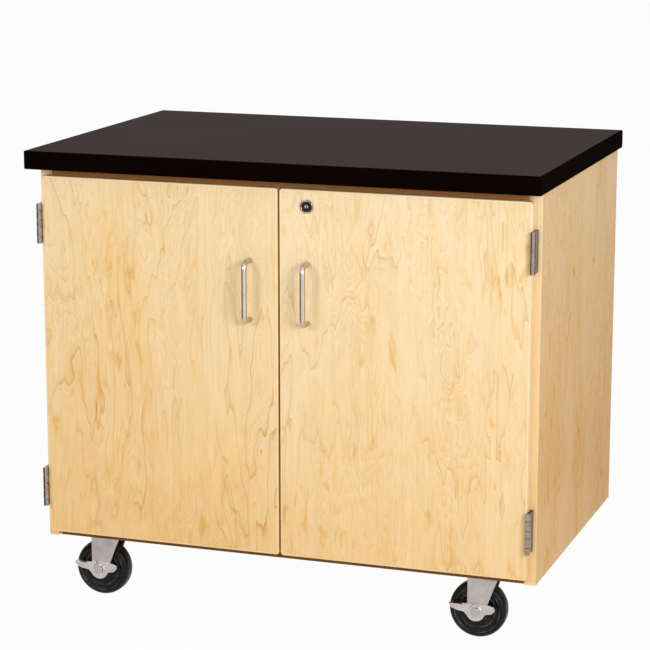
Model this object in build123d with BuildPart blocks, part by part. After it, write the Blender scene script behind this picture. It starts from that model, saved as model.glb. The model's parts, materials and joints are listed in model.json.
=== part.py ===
from build123d import *

import os
from math import radians, tan

os.makedirs("parts", exist_ok=True)

# A mobile storage cabinet with two hinged doors on four swivel casters, in millimetres.
# The origin is on the floor under the middle of the overall box. +X is to the right of
# someone who faces the doors, +Y is to the back and +Z is up.

# Fits and counts shared by several pieces
running_clearance = 0.05
fixed_clearance = 0.05
cut_overrun = 1.0
hexagon_sides = 6

# Worktop
worktop_width = 914.4
worktop_depth = 609.6
worktop_thickness = 31.75
worktop_band_thickness = 3.0
worktop_corner_radius = 4.0
worktop_edge_radius = 2.4
worktop_side_overhang = 9.5
worktop_front_overhang = 26.0

# Carcass boards
carcass_height = 666.75
panel_thickness = 19.0
back_thickness = 6.0
back_housing = 9.5
bottom_housing = 6.0
bottom_setback = 6.0
rail_depth = 90.0
carcass_band_thickness = 3.0
edge_easing = 1.0

# Doors
door_thickness = 19.0
door_side_reveal = 11.0
door_top_reveal = 14.0
door_bottom_reveal = 14.0
door_centre_gap = 3.2
door_band_thickness = 3.0
door_corner_radius = 5.5
door_edge_radius = 1.6

# Adjustable shelf and its pins
shelf_thickness = 19.0
shelf_end_clearance = 2.5
shelf_front_setback = 25.0
shelf_back_clearance = 4.0
pin_diameter = 6.3
pin_hole_depth = 12.0
pin_hole_pitch = 32.0
pin_hole_count = 11
pin_row_inset = 60.0
pin_collar_diameter = 10.0
pin_collar_thickness = 1.2
pin_rest_length = 11.0
pin_rest_width = 8.0
pin_rest_thickness = 4.0

# Hinges, five knuckles each
frame_knuckles = 3
door_knuckles = 2
hinge_height = 70.0
hinge_setback = 48.0
leaf_thickness = 2.4
leaf_gap = 1.2
leaf_running_gap = 0.6
leaf_fold_radius = 2.0
frame_wing_depth = 34.0
door_wing_width = 38.0
barrel_diameter = 9.5
barrel_clearance = 0.6
hinge_pin_diameter = 5.0
hinge_pin_chamfer = 0.6
knuckle_gap = 0.6
knuckle_chamfer = 0.5
outer_knuckle_length = 11.6
hinge_screw_spacing = 44.0
hinge_screw_inset = 14.0
hinge_screw_head_diameter = 7.4
hinge_screw_diameter = 4.0
hinge_screw_length = 15.0
countersink_angle = 82.0

# Wire pulls
pull_offset = 52.0
pull_drop = 176.0
pull_centres = 101.6
pull_diameter = 9.5
pull_projection = 31.75
pull_bend_radius = 12.0
pull_screw_diameter = 4.0
pull_screw_engagement = 10.0
pull_screw_head_diameter = 8.4
pull_screw_head_height = 2.2

# Cam lock in the right door
lock_offset = 50.8
lock_drop = 28.0
lock_bezel_diameter = 23.0
lock_bezel_thickness = 3.4
lock_bezel_radius = 1.4
lock_face_recess = 1.8
lock_face_diameter = 17.0
lock_body_diameter = 19.0
lock_body_tail = 13.0
lock_nut_diameter = 25.0
lock_nut_thickness = 4.0
lock_plug_diameter = 12.0
lock_plug_setback = 1.0
lock_tail_diameter = 8.0
lock_rivet_diameter = 11.0
lock_rivet_thickness = 2.0
lock_end_gap = 0.4
keyway_width = 2.2
keyway_height = 8.0
keyway_depth = 9.0
lock_cam_width = 14.0
lock_cam_thickness = 2.4
lock_cam_clearance = 1.5
lock_strike_thickness = 2.0
lock_strike_width = 32.0
lock_strike_base_depth = 26.0
lock_strike_clearance = 1.6
lock_strike_gap = 1.5

# Magnetic catch on the right door
magnet_offset = 118.0
magnet_width = 46.0
magnet_depth = 17.0
magnet_height = 13.0
magnet_corner_radius = 2.0
magnet_slot_width = 24.0
magnet_slot_height = 5.0
magnet_slot_depth = 3.0
keeper_width = 38.0
keeper_height = 11.0
keeper_thickness = 1.2
keeper_gap = 0.4

# Elbow catch on the left door
elbow_offset = 75.0
elbow_lever_width = 12.0
elbow_side_gap = 0.5
elbow_sheet_thickness = 1.6
elbow_bracket_height = 34.0
elbow_bracket_flange = 9.0
elbow_pivot_setback = 9.0
elbow_pivot_diameter = 3.0
elbow_boss_diameter = 8.0
elbow_arm_length = 30.0
elbow_arm_thickness = 3.0
elbow_hook_height = 7.0
elbow_hook_thickness = 4.0
elbow_hook_ramp = 4.0
elbow_thumb_length = 17.0
elbow_lip_drop = 12.0
elbow_release_gap = 0.8
elbow_hook_clearance = 2.4
elbow_strike_width = 20.0
elbow_strike_base_depth = 22.0

# Casters
wheel_diameter = 101.6
wheel_width = 32.0
wheel_shoulder_radius = 7.0
wheel_rim_depth = 14.5
wheel_web_width = 22.0
wheel_ring_diameter = 54.0
wheel_ring_width = 25.0
wheel_dish_run = 2.0
wheel_hub_diameter = 34.0
wheel_hub_length = 37.0
wheel_top_clearance = 13.0
caster_trail = 27.0
caster_side_inset = 93.5
caster_end_inset = 88.0
plate_length = 95.0
plate_width = 67.0
plate_thickness = 3.6
plate_corner_radius = 8.0
plate_bolt_spacing_x = 75.0
plate_bolt_spacing_y = 45.0
plate_hole_diameter = 9.0
race_diameter = 52.0
race_depth = 7.0
race_gap = 1.6
race_side_gap = 2.0
race_wall = 3.0
race_lid_gap = 1.8
crown_thickness = 3.2
crown_bend_radius = 3.0
leg_thickness = 3.2
leg_end_radius = 15.5
leg_top_reach = 12.0
hub_side_clearance = 0.8
kingpin_diameter = 12.0
kingpin_head_diameter = 19.0
kingpin_head_height = 6.0
kingpin_head_gap = 0.1
axle_diameter = 9.5
axle_sleeve_diameter = 13.0
axle_head_diameter = 15.0
axle_head_height = 2.2
axle_head_radius = 1.2
axle_nut_flats = 15.0
axle_nut_height = 7.0
axle_stub_length = 2.5
caster_bolt_diameter = 7.8
caster_bolt_length = 16.0
caster_bolt_flats = 12.7
caster_bolt_head_height = 5.0

# Brake levers of the front casters
brake_thickness = 3.0
brake_side_gap = 0.4
brake_hub_radius = 17.0
brake_boss_diameter = 23.0
brake_boss_height = 1.2
brake_boss_radius = 0.8
brake_top_height = 13.5
brake_left_reach = 47.0
brake_right_reach = 35.0
brake_corner_radius = 1.6
brake_pedal_radius = 4.0
brake_notch_radius = 2.2
brake_notch_offset = 4.0
brake_pedal_length = 22.0
brake_pedal_projection = 10.0
# Each wing outline is a list of points as shares of that wing's reach and of the top height
brake_left_wing_shares = [(1.0, 1.0), (1.0, 0.62), (0.9, 0.24), (0.72, 0.02), (0.44, -0.14), (0.24, -0.84)]
brake_right_wing_shares = [(0.3, -0.84), (0.5, -0.3), (0.82, -0.14), (1.0, 0.38), (0.94, 0.78), (0.7, 1.0)]

# Heights, from the floor up
crown_bottom_z = wheel_diameter + wheel_top_clearance
crown_top_z = crown_bottom_z + crown_thickness
race_bottom_z = crown_top_z + race_gap
plate_bottom_z = race_bottom_z + race_depth
carcass_bottom_z = plate_bottom_z + plate_thickness
carcass_top_z = carcass_bottom_z + carcass_height
rail_bottom_z = carcass_top_z - panel_thickness
axle_z = wheel_diameter / 2
door_bottom_z = carcass_bottom_z + door_bottom_reveal
door_top_z = carcass_top_z - door_top_reveal
door_height = door_top_z - door_bottom_z
hinge_bottoms_z = {
    "upper": door_top_z - hinge_setback - hinge_height,
    "lower": door_bottom_z + hinge_setback,
}
pull_z = door_top_z - pull_drop
lock_z = door_top_z - lock_drop

# Depths, from the front of the pulls to the back of the worktop
pull_overshoot = max(0, pull_projection - worktop_front_overhang)
overall_depth = worktop_depth + pull_overshoot
worktop_front_y = pull_overshoot - overall_depth / 2
worktop_back_y = overall_depth / 2
worktop_middle_y = (worktop_front_y + worktop_back_y) / 2
door_face_y = worktop_front_y + worktop_front_overhang
door_back_y = door_face_y + door_thickness
carcass_front_y = door_back_y + leaf_thickness + leaf_running_gap
board_front_y = carcass_front_y + carcass_band_thickness
bottom_front_y = board_front_y + bottom_setback
carcass_back_y = worktop_back_y
board_back_y = carcass_back_y - back_thickness

# Widths, from the middle out, and the sizes inside the bands
worktop_board_width = worktop_width - 2 * worktop_band_thickness
worktop_board_depth = worktop_depth - 2 * worktop_band_thickness
carcass_half_width = worktop_width / 2 - worktop_side_overhang
side_inner_x = carcass_half_width - panel_thickness
door_inner_x = door_centre_gap / 2
door_outer_x = carcass_half_width - door_side_reveal
door_width = door_outer_x - door_inner_x
door_middle_x = (door_outer_x + door_inner_x) / 2
door_board_width = door_width - 2 * door_band_thickness
door_board_height = door_height - 2 * door_band_thickness

# Hinge axis and knuckles
barrel_x = door_outer_x + leaf_thickness + leaf_gap / 2
barrel_y = door_face_y - barrel_clearance - barrel_diameter / 2
knuckle_gaps = (frame_knuckles + door_knuckles - 1) * knuckle_gap
inner_knuckle_length = (hinge_height - frame_knuckles * outer_knuckle_length - knuckle_gaps) / door_knuckles
knuckle_pitch = outer_knuckle_length + inner_knuckle_length + 2 * knuckle_gap
first_inner_start = outer_knuckle_length + knuckle_gap
frame_knuckle_starts = [index * knuckle_pitch for index in range(frame_knuckles)]
door_knuckle_starts = [first_inner_start + index * knuckle_pitch for index in range(door_knuckles)]
hinge_screw_rises = [(hinge_height + turn * hinge_screw_spacing) / 2 for turn in (-1, 1)]
frame_screw_y = carcass_front_y + frame_wing_depth - hinge_screw_inset
door_screw_x = door_outer_x - door_wing_width + hinge_screw_inset

# Shelf and pin places
interior_bottom_z = carcass_bottom_z + panel_thickness
shelf_pin_z = (interior_bottom_z + rail_bottom_z) / 2
shelf_bottom_z = shelf_pin_z + pin_diameter / 2
shelf_front_y = carcass_front_y + shelf_front_setback
shelf_back_y = board_back_y - shelf_back_clearance
pin_rows_y = [shelf_front_y + pin_row_inset, shelf_back_y - pin_row_inset]

# Caster places
caster_x = carcass_half_width - caster_side_inset
caster_places = {
    "front_left": (-caster_x, carcass_front_y + caster_end_inset),
    "front_right": (caster_x, carcass_front_y + caster_end_inset),
    "rear_left": (-caster_x, carcass_back_y - caster_end_inset),
    "rear_right": (caster_x, carcass_back_y - caster_end_inset),
}
braked_casters = ("front_left", "front_right")
leg_inner_y = wheel_hub_length / 2 + hub_side_clearance
leg_outer_y = leg_inner_y + leg_thickness
cup_inner_radius = race_diameter / 2 + race_side_gap
cup_outer_radius = cup_inner_radius + race_wall
brake_back_y = leg_outer_y + brake_side_gap
brake_front_y = brake_back_y + brake_thickness

# Catch and lock places
lock_tail_end_y = door_back_y + lock_body_tail
lock_cam_front_y = lock_tail_end_y + lock_end_gap
lock_cam_back_y = lock_cam_front_y + lock_cam_thickness
lock_cam_reach = rail_bottom_z - lock_strike_thickness - lock_cam_clearance - lock_z
lock_strike_back_y = lock_cam_front_y - lock_strike_gap
lock_strike_bottom_z = lock_z + lock_body_diameter / 2 + lock_strike_clearance
keeper_z = rail_bottom_z - magnet_height / 2
magnet_front_y = door_back_y + keeper_thickness + keeper_gap
elbow_lip_bottom_z = rail_bottom_z - elbow_lip_drop
elbow_hook_top_z = elbow_lip_bottom_z - elbow_release_gap
elbow_pivot_z = elbow_hook_top_z - elbow_hook_height - elbow_arm_thickness / 2
elbow_pivot_y = door_back_y + elbow_pivot_setback
elbow_hook_front_y = elbow_pivot_y + elbow_arm_length - elbow_hook_thickness
elbow_lip_back_y = elbow_hook_front_y - elbow_hook_clearance

hands = {"left": -1, "right": 1}


def save(piece, name):
    """Label a finished piece and write its file."""
    piece.part.label = name
    export_step(piece.part, f"parts/{name}.step")


def side_plane(hand, x):
    """A plane at x on one hand that faces outwards, with Z up its own second axis."""
    return Plane(origin=(hand * x, 0, 0), x_dir=(0, hand, 0), z_dir=(hand, 0, 0))


def front_plane(y):
    """A plane at y that faces the front, with X and Z as its own axes."""
    return Plane.XZ.offset(-y)


def end_plane(x, y):
    """A plane at x that looks along X, with Y and Z as its own axes and its origin at y."""
    return Plane(origin=(x, y, 0), x_dir=(0, 1, 0), z_dir=(1, 0, 0))


def make_worktop_board():
    with BuildPart() as board:
        with BuildSketch(Plane.XY.offset(carcass_top_z)):
            with Locations((0, worktop_middle_y)):
                Rectangle(worktop_board_width, worktop_board_depth)
        extrude(amount=worktop_thickness)
    save(board, "worktop_board")


def make_worktop_edge_band():
    with BuildPart() as band:
        with BuildSketch(Plane.XY.offset(carcass_top_z)):
            with Locations((0, worktop_middle_y)):
                RectangleRounded(worktop_width, worktop_depth, worktop_corner_radius)
                Rectangle(worktop_board_width, worktop_board_depth, mode=Mode.SUBTRACT)
        extrude(amount=worktop_thickness)
        top_rim = band.faces().sort_by(Axis.Z)[-1].outer_wire().edges()
        bottom_rim = band.faces().sort_by(Axis.Z)[0].outer_wire().edges()
        fillet(top_rim, worktop_edge_radius)
        chamfer(bottom_rim, edge_easing)
    save(band, "worktop_edge_band")


def make_side_panel(name, hand):
    """A side board, rebated for the back, housed for the bottom and bored for pins and hinges."""
    housing_x = side_inner_x + back_housing
    outline = [
        (side_inner_x, board_front_y),
        (carcass_half_width, board_front_y),
        (carcass_half_width, carcass_back_y),
        (housing_x, carcass_back_y),
        (housing_x, board_back_y),
        (side_inner_x, board_back_y),
    ]
    with BuildPart() as panel:
        with BuildSketch(Plane.XY.offset(carcass_bottom_z)):
            with BuildLine():
                Polyline(*[(hand * x, y) for x, y in outline], close=True)
            make_face()
        extrude(amount=carcass_height)
        with BuildSketch(side_plane(hand, side_inner_x - cut_overrun)):
            with Locations((0, carcass_bottom_z)):
                Rectangle(2 * worktop_depth, 2 * panel_thickness)
        extrude(amount=bottom_housing + cut_overrun, mode=Mode.SUBTRACT)
        with BuildSketch(side_plane(hand, side_inner_x)):
            for row_y in pin_rows_y:
                with Locations((hand * row_y, shelf_pin_z)):
                    with GridLocations(0, pin_hole_pitch, 1, pin_hole_count):
                        Circle(pin_diameter / 2 + fixed_clearance)
        extrude(amount=pin_hole_depth, mode=Mode.SUBTRACT)
        with BuildSketch(side_plane(hand, side_inner_x)):
            for bottom_z in hinge_bottoms_z.values():
                with Locations(*[(hand * frame_screw_y, bottom_z + rise) for rise in hinge_screw_rises]):
                    Circle(hinge_screw_diameter / 2 + fixed_clearance)
        extrude(amount=hinge_screw_length, mode=Mode.SUBTRACT)
    save(panel, f"{name}_side_panel")


def caster_bolt_places():
    """The middle of every bolt that holds a caster plate."""
    return [
        (x + x_turn * plate_bolt_spacing_x / 2, y + y_turn * plate_bolt_spacing_y / 2)
        for x, y in caster_places.values()
        for x_turn in (-1, 1)
        for y_turn in (-1, 1)
    ]


def make_bottom_panel():
    with BuildPart() as panel:
        with BuildSketch(Plane.XY.offset(carcass_bottom_z)):
            with Locations((0, (bottom_front_y + board_back_y) / 2)):
                Rectangle(2 * (side_inner_x + bottom_housing), board_back_y - bottom_front_y)
        extrude(amount=panel_thickness)
        with BuildSketch(Plane.XY.offset(carcass_bottom_z)):
            with Locations(*caster_bolt_places()):
                Circle(caster_bolt_diameter / 2 + fixed_clearance)
        extrude(amount=caster_bolt_length, mode=Mode.SUBTRACT)
    save(panel, "bottom_panel")


def make_back_panel():
    with BuildPart() as panel:
        with BuildSketch(front_plane(carcass_back_y)):
            with Locations((0, carcass_bottom_z + carcass_height / 2)):
                Rectangle(2 * (side_inner_x + back_housing), carcass_height)
        extrude(amount=back_thickness)
    save(panel, "back_panel")


def make_top_rail(name, front_y):
    with BuildPart() as rail:
        with BuildSketch(Plane.XY.offset(rail_bottom_z)):
            with Locations((0, front_y + rail_depth / 2)):
                Rectangle(2 * side_inner_x, rail_depth)
        extrude(amount=panel_thickness)
    save(rail, name)


def make_carcass_edge_bands():
    """Strips on the front edges of the two sides and the bottom, with eased front corners."""
    with BuildPart() as bands:
        with BuildSketch(front_plane(board_front_y)):
            for hand in hands.values():
                middle_x = hand * (side_inner_x + panel_thickness / 2)
                with Locations((middle_x, carcass_bottom_z + carcass_height / 2)):
                    Rectangle(panel_thickness, carcass_height)
        extrude(amount=carcass_band_thickness)
        front_edges = bands.edges().filter_by(Axis.Z).group_by(Axis.Y)[0]
        chamfer(front_edges, edge_easing)
        with BuildSketch(front_plane(bottom_front_y)):
            with Locations((0, carcass_bottom_z + panel_thickness / 2)):
                Rectangle(2 * (side_inner_x - fixed_clearance), panel_thickness)
        extrude(amount=carcass_band_thickness)
    save(bands, "carcass_edge_bands")


def make_shelf():
    with BuildPart() as shelf:
        with BuildSketch(Plane.XY.offset(shelf_bottom_z)):
            with Locations((0, (shelf_front_y + shelf_back_y) / 2)):
                Rectangle(2 * (side_inner_x - shelf_end_clearance), shelf_back_y - shelf_front_y)
        extrude(amount=shelf_thickness)
        front_edges = shelf.edges().filter_by(Axis.X).group_by(Axis.Y)[0]
        fillet(front_edges, edge_easing)
    save(shelf, "shelf")


def make_shelf_pins():
    """Four pins: a shank in the side, a collar on its face and a flat-topped rest."""
    centred_low = (Align.CENTER, Align.CENTER, Align.MIN)
    centred_high = (Align.CENTER, Align.CENTER, Align.MAX)
    with BuildPart() as pins:
        for hand in hands.values():
            for row_y in pin_rows_y:
                place = Plane(
                    origin=(hand * side_inner_x, row_y, shelf_pin_z),
                    x_dir=(0, hand, 0),
                    z_dir=(-hand, 0, 0),
                )
                with Locations(place):
                    Cylinder(pin_diameter / 2, pin_hole_depth - cut_overrun, align=centred_high)
                    Cylinder(pin_collar_diameter / 2, pin_collar_thickness, align=centred_low)
                with BuildSketch(Plane.XY.offset(shelf_bottom_z)):
                    with Locations((hand * (side_inner_x - pin_rest_length / 2), row_y)):
                        Rectangle(pin_rest_length, pin_rest_width)
                extrude(amount=-pin_rest_thickness)
    save(pins, "shelf_pins")


def add_knuckles(hand, bottom_z, starts, length):
    """Add the barrels of some knuckles to the leaf being built."""
    above = (Align.CENTER, Align.CENTER, Align.MIN)
    with Locations(*[(hand * barrel_x, barrel_y, bottom_z + start) for start in starts]):
        Cylinder(barrel_diameter / 2, length, align=above)


def cut_pin_bore(hand, bottom_z):
    """Bore the knuckles of the leaf being built for the hinge pin."""
    above = (Align.CENTER, Align.CENTER, Align.MIN)
    with Locations((hand * barrel_x, barrel_y, bottom_z)):
        Cylinder(hinge_pin_diameter / 2 + running_clearance, hinge_height, align=above, mode=Mode.SUBTRACT)


def make_frame_leaf(name, hand, bottom_z):
    """The leaf that wraps round the front edge of a side, with three of the five knuckles."""
    plate_inner_x = barrel_x + leaf_gap / 2
    plate_outer_x = plate_inner_x + leaf_thickness
    wing_x = side_inner_x - leaf_thickness
    outline = [
        (plate_inner_x, door_face_y),
        (plate_outer_x, door_face_y),
        (plate_outer_x, carcass_front_y),
        (side_inner_x, carcass_front_y),
        (side_inner_x, carcass_front_y + frame_wing_depth),
        (wing_x, carcass_front_y + frame_wing_depth),
        (wing_x, carcass_front_y - leaf_thickness),
        (plate_inner_x, carcass_front_y - leaf_thickness),
    ]
    folds = [(plate_outer_x, carcass_front_y), (wing_x, carcass_front_y - leaf_thickness)]
    tab_middle = (hand * (plate_inner_x + plate_outer_x) / 2, (barrel_y + door_face_y) / 2)
    with BuildPart() as leaf:
        add_knuckles(hand, bottom_z, frame_knuckle_starts, outer_knuckle_length)
        chamfer(leaf.edges().filter_by(GeomType.CIRCLE), knuckle_chamfer)
        for start in frame_knuckle_starts:
            with BuildSketch(Plane.XY.offset(bottom_z + start)):
                with Locations(tab_middle):
                    Rectangle(leaf_thickness, door_face_y - barrel_y)
            extrude(amount=outer_knuckle_length)
        with BuildSketch(Plane.XY.offset(bottom_z)) as profile:
            with BuildLine():
                Polyline(*[(hand * x, y) for x, y in outline], close=True)
            make_face()
            for x, y in folds:
                fillet(profile.vertices().sort_by_distance((hand * x, y))[0], leaf_fold_radius)
        extrude(amount=hinge_height)
        cut_pin_bore(hand, bottom_z)
        with Locations(
            *[
                Plane(
                    origin=(hand * wing_x, frame_screw_y, bottom_z + rise),
                    x_dir=(0, hand, 0),
                    z_dir=(-hand, 0, 0),
                )
                for rise in hinge_screw_rises
            ]
        ):
            CounterSinkHole(
                hinge_screw_diameter / 2 + fixed_clearance,
                hinge_screw_head_diameter / 2 + fixed_clearance,
                depth=leaf_thickness + cut_overrun,
                counter_sink_angle=countersink_angle,
            )
    save(leaf, f"{name}_frame_leaf")


def make_door_leaf(name, hand, bottom_z):
    """The leaf that wraps round the edge of a door onto its back, with two knuckles."""
    plate_outer_x = door_outer_x + leaf_thickness
    wing_x = door_outer_x - door_wing_width
    outline = [
        (door_outer_x, door_face_y),
        (plate_outer_x, door_face_y),
        (plate_outer_x, door_back_y),
        (wing_x, door_back_y),
        (wing_x, door_back_y - leaf_thickness),
        (door_outer_x, door_back_y - leaf_thickness),
    ]
    folds = [(plate_outer_x, door_back_y)]
    tab_middle = (hand * (door_outer_x + plate_outer_x) / 2, (barrel_y + door_face_y) / 2)
    with BuildPart() as leaf:
        add_knuckles(hand, bottom_z, door_knuckle_starts, inner_knuckle_length)
        chamfer(leaf.edges().filter_by(GeomType.CIRCLE), knuckle_chamfer)
        for start in door_knuckle_starts:
            with BuildSketch(Plane.XY.offset(bottom_z + start)):
                with Locations(tab_middle):
                    Rectangle(leaf_thickness, door_face_y - barrel_y)
            extrude(amount=inner_knuckle_length)
        with BuildSketch(Plane.XY.offset(bottom_z)) as profile:
            with BuildLine():
                Polyline(*[(hand * x, y) for x, y in outline], close=True)
            make_face()
            for x, y in folds:
                fillet(profile.vertices().sort_by_distance((hand * x, y))[0], leaf_fold_radius)
        extrude(amount=hinge_height)
        cut_pin_bore(hand, bottom_z)
        with Locations(
            *[
                Plane(
                    origin=(hand * door_screw_x, door_back_y, bottom_z + rise),
                    x_dir=(1, 0, 0),
                    z_dir=(0, 1, 0),
                )
                for rise in hinge_screw_rises
            ]
        ):
            CounterSinkHole(
                hinge_screw_diameter / 2 + fixed_clearance,
                hinge_screw_head_diameter / 2 + fixed_clearance,
                depth=leaf_thickness + cut_overrun,
                counter_sink_angle=countersink_angle,
            )
    save(leaf, f"{name}_door_leaf")


def make_hinge_pins():
    with BuildPart() as pins:
        for bottom_z in hinge_bottoms_z.values():
            with BuildSketch(Plane.XY.offset(bottom_z)):
                with Locations(*[(hand * barrel_x, barrel_y) for hand in hands.values()]):
                    Circle(hinge_pin_diameter / 2)
            extrude(amount=hinge_height)
        chamfer(pins.edges().filter_by(GeomType.CIRCLE), hinge_pin_chamfer)
    save(pins, "hinge_pins")


def add_countersunk_screws(places):
    """Add flat-headed screws to the part being built, each with its head flush with a plane."""
    below = (Align.CENTER, Align.CENTER, Align.MAX)
    head_step = (hinge_screw_head_diameter - hinge_screw_diameter) / 2
    cone_height = head_step / tan(radians(countersink_angle / 2))
    with Locations(*places):
        Cone(hinge_screw_diameter / 2, hinge_screw_head_diameter / 2, cone_height, align=below)
        Cylinder(hinge_screw_diameter / 2, hinge_screw_length, align=below)


def make_frame_hinge_screws():
    wing_x = side_inner_x - leaf_thickness
    with BuildPart() as screws:
        add_countersunk_screws(
            [
                Plane(origin=(hand * wing_x, frame_screw_y, bottom_z + rise), z_dir=(-hand, 0, 0))
                for hand in hands.values()
                for bottom_z in hinge_bottoms_z.values()
                for rise in hinge_screw_rises
            ]
        )
    save(screws, "frame_hinge_screws")


def pull_hole_places(hand):
    """The two ends of a pull, as X and Z."""
    return [(hand * pull_offset, pull_z + turn * pull_centres / 2) for turn in (-1, 1)]


def make_door_screws(name, hand):
    """The screws in the back of a door: those of its hinge leaves and those of its pull."""
    above = (Align.CENTER, Align.CENTER, Align.MIN)
    below = (Align.CENTER, Align.CENTER, Align.MAX)
    pull_places = [Plane(origin=(x, door_back_y, z), z_dir=(0, 1, 0)) for x, z in pull_hole_places(hand)]
    with BuildPart() as screws:
        add_countersunk_screws(
            [
                Plane(origin=(hand * door_screw_x, door_back_y, bottom_z + rise), z_dir=(0, 1, 0))
                for bottom_z in hinge_bottoms_z.values()
                for rise in hinge_screw_rises
            ]
        )
        with Locations(*pull_places):
            Cylinder(pull_screw_diameter / 2, door_thickness + pull_screw_engagement, align=below)
            Cylinder(pull_screw_head_diameter / 2, pull_screw_head_height, align=above)
    save(screws, f"{name}_door_screws")


def cut_hinge_mortises(hand):
    """Sink the places of the two hinge leaves into the back of the door being built."""
    for bottom_z in hinge_bottoms_z.values():
        mortise_x = hand * (door_outer_x - door_wing_width / 2 + cut_overrun / 2)
        with Locations((mortise_x, door_back_y, bottom_z + hinge_height / 2)):
            Box(door_wing_width + cut_overrun, 2 * leaf_thickness, hinge_height, mode=Mode.SUBTRACT)


def make_door_panel(name, hand):
    """The board of a door inside its edge band, bored for its pull, hinges and lock."""
    with BuildPart() as door:
        with BuildSketch(front_plane(door_back_y)):
            with Locations((hand * door_middle_x, door_bottom_z + door_height / 2)):
                Rectangle(door_board_width, door_board_height)
        extrude(amount=door_thickness)
        cut_hinge_mortises(hand)
        with BuildSketch(front_plane(door_back_y)):
            with Locations(*pull_hole_places(hand)):
                Circle(pull_screw_diameter / 2 + fixed_clearance)
            if name == "right":
                with Locations((lock_offset, lock_z)):
                    Circle(lock_body_diameter / 2 + fixed_clearance)
        extrude(amount=door_thickness, mode=Mode.SUBTRACT)
        with BuildSketch(front_plane(door_back_y)):
            for bottom_z in hinge_bottoms_z.values():
                with Locations(*[(hand * door_screw_x, bottom_z + rise) for rise in hinge_screw_rises]):
                    Circle(hinge_screw_diameter / 2 + fixed_clearance)
        extrude(amount=hinge_screw_length, mode=Mode.SUBTRACT)
    save(door, f"{name}_door_panel")


def make_door_edge_band(name, hand):
    """The band round all four edges of a door, eased at its corners."""
    with BuildPart() as band:
        with BuildSketch(front_plane(door_back_y)):
            with Locations((hand * door_middle_x, door_bottom_z + door_height / 2)):
                RectangleRounded(door_width, door_height, door_corner_radius)
                Rectangle(door_board_width, door_board_height, mode=Mode.SUBTRACT)
        extrude(amount=door_thickness)
        for face in (band.faces().sort_by(Axis.Y)[0], band.faces().sort_by(Axis.Y)[-1]):
            fillet(face.outer_wire().edges(), door_edge_radius)
        cut_hinge_mortises(hand)
    save(band, f"{name}_door_edge_band")


def make_pull(name, hand):
    """A bent wire handle with a screw hole in each end."""
    grip_y = door_face_y - pull_projection + pull_diameter / 2
    low, high = pull_hole_places(hand)
    route = [
        (low[0], door_face_y, low[1]),
        (low[0], grip_y, low[1]),
        (high[0], grip_y, high[1]),
        (high[0], door_face_y, high[1]),
    ]
    with BuildPart() as pull:
        with BuildLine() as wire:
            FilletPolyline(*route, radius=pull_bend_radius)
        with BuildSketch(Plane(origin=route[0], z_dir=(0, -1, 0))):
            Circle(pull_diameter / 2)
        sweep(path=wire.line)
        with BuildSketch(front_plane(door_face_y)):
            with Locations(low, high):
                Circle(pull_screw_diameter / 2 + fixed_clearance)
        extrude(amount=pull_screw_engagement + cut_overrun, mode=Mode.SUBTRACT)
    save(pull, f"{name}_pull")


def make_lock_cylinder():
    """The fixed body of the lock: a rounded bezel on the door and a barrel through it."""
    with BuildPart() as cylinder:
        with BuildSketch(front_plane(door_face_y)):
            with Locations((lock_offset, lock_z)):
                Circle(lock_bezel_diameter / 2)
        extrude(amount=lock_bezel_thickness)
        with BuildSketch(front_plane(door_face_y - lock_bezel_thickness)):
            with Locations((lock_offset, lock_z)):
                Circle(lock_face_diameter / 2)
        extrude(amount=-lock_face_recess, mode=Mode.SUBTRACT)
        rim = cylinder.faces().sort_by(Axis.Y)[0].edges()
        fillet(rim, lock_bezel_radius)
        with BuildSketch(front_plane(lock_tail_end_y)):
            with Locations((lock_offset, lock_z)):
                Circle(lock_body_diameter / 2)
        extrude(amount=lock_tail_end_y - door_face_y)
        with BuildSketch(front_plane(lock_tail_end_y)):
            with Locations((lock_offset, lock_z)):
                Circle(lock_plug_diameter / 2 + running_clearance)
        extrude(amount=lock_tail_end_y - door_face_y + lock_bezel_thickness, mode=Mode.SUBTRACT)
    save(cylinder, "lock_cylinder")


def make_lock_nut():
    with BuildPart() as nut:
        with BuildSketch(front_plane(door_back_y)):
            with Locations((lock_offset, lock_z)):
                RegularPolygon(lock_nut_diameter / 2, hexagon_sides)
                Circle(lock_body_diameter / 2 + fixed_clearance, mode=Mode.SUBTRACT)
        extrude(amount=-lock_nut_thickness)
    save(nut, "lock_nut")


def make_lock_plug():
    """The turning core: a slotted face, a core, a thinner tail and a riveted end."""
    face_y = door_face_y - lock_bezel_thickness + lock_plug_setback
    steps = [
        (face_y, lock_cam_front_y, lock_plug_diameter),
        (lock_cam_front_y, lock_cam_back_y, lock_tail_diameter),
        (lock_cam_back_y, lock_cam_back_y + lock_rivet_thickness, lock_rivet_diameter),
    ]
    with BuildPart() as plug:
        for front_y, back_y, diameter in steps:
            with BuildSketch(front_plane(back_y)):
                with Locations((lock_offset, lock_z)):
                    Circle(diameter / 2)
            extrude(amount=back_y - front_y)
        with BuildSketch(front_plane(face_y)):
            with Locations((lock_offset, lock_z)):
                Rectangle(keyway_width, keyway_height)
        extrude(amount=-keyway_depth, mode=Mode.SUBTRACT)
    save(plug, "lock_plug")


def make_lock_cam():
    """The arm on the back of the plug, pointing sideways while the lock is open."""
    straight = lock_cam_reach - lock_cam_width / 2
    with BuildPart() as cam:
        with BuildSketch(front_plane(lock_cam_back_y)):
            with Locations((lock_offset + straight / 2, lock_z)):
                SlotCenterToCenter(straight, lock_cam_width)
            with Locations((lock_offset, lock_z)):
                Circle(lock_tail_diameter / 2, mode=Mode.SUBTRACT)
        extrude(amount=lock_cam_thickness)
    save(cam, "lock_cam")


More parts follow.
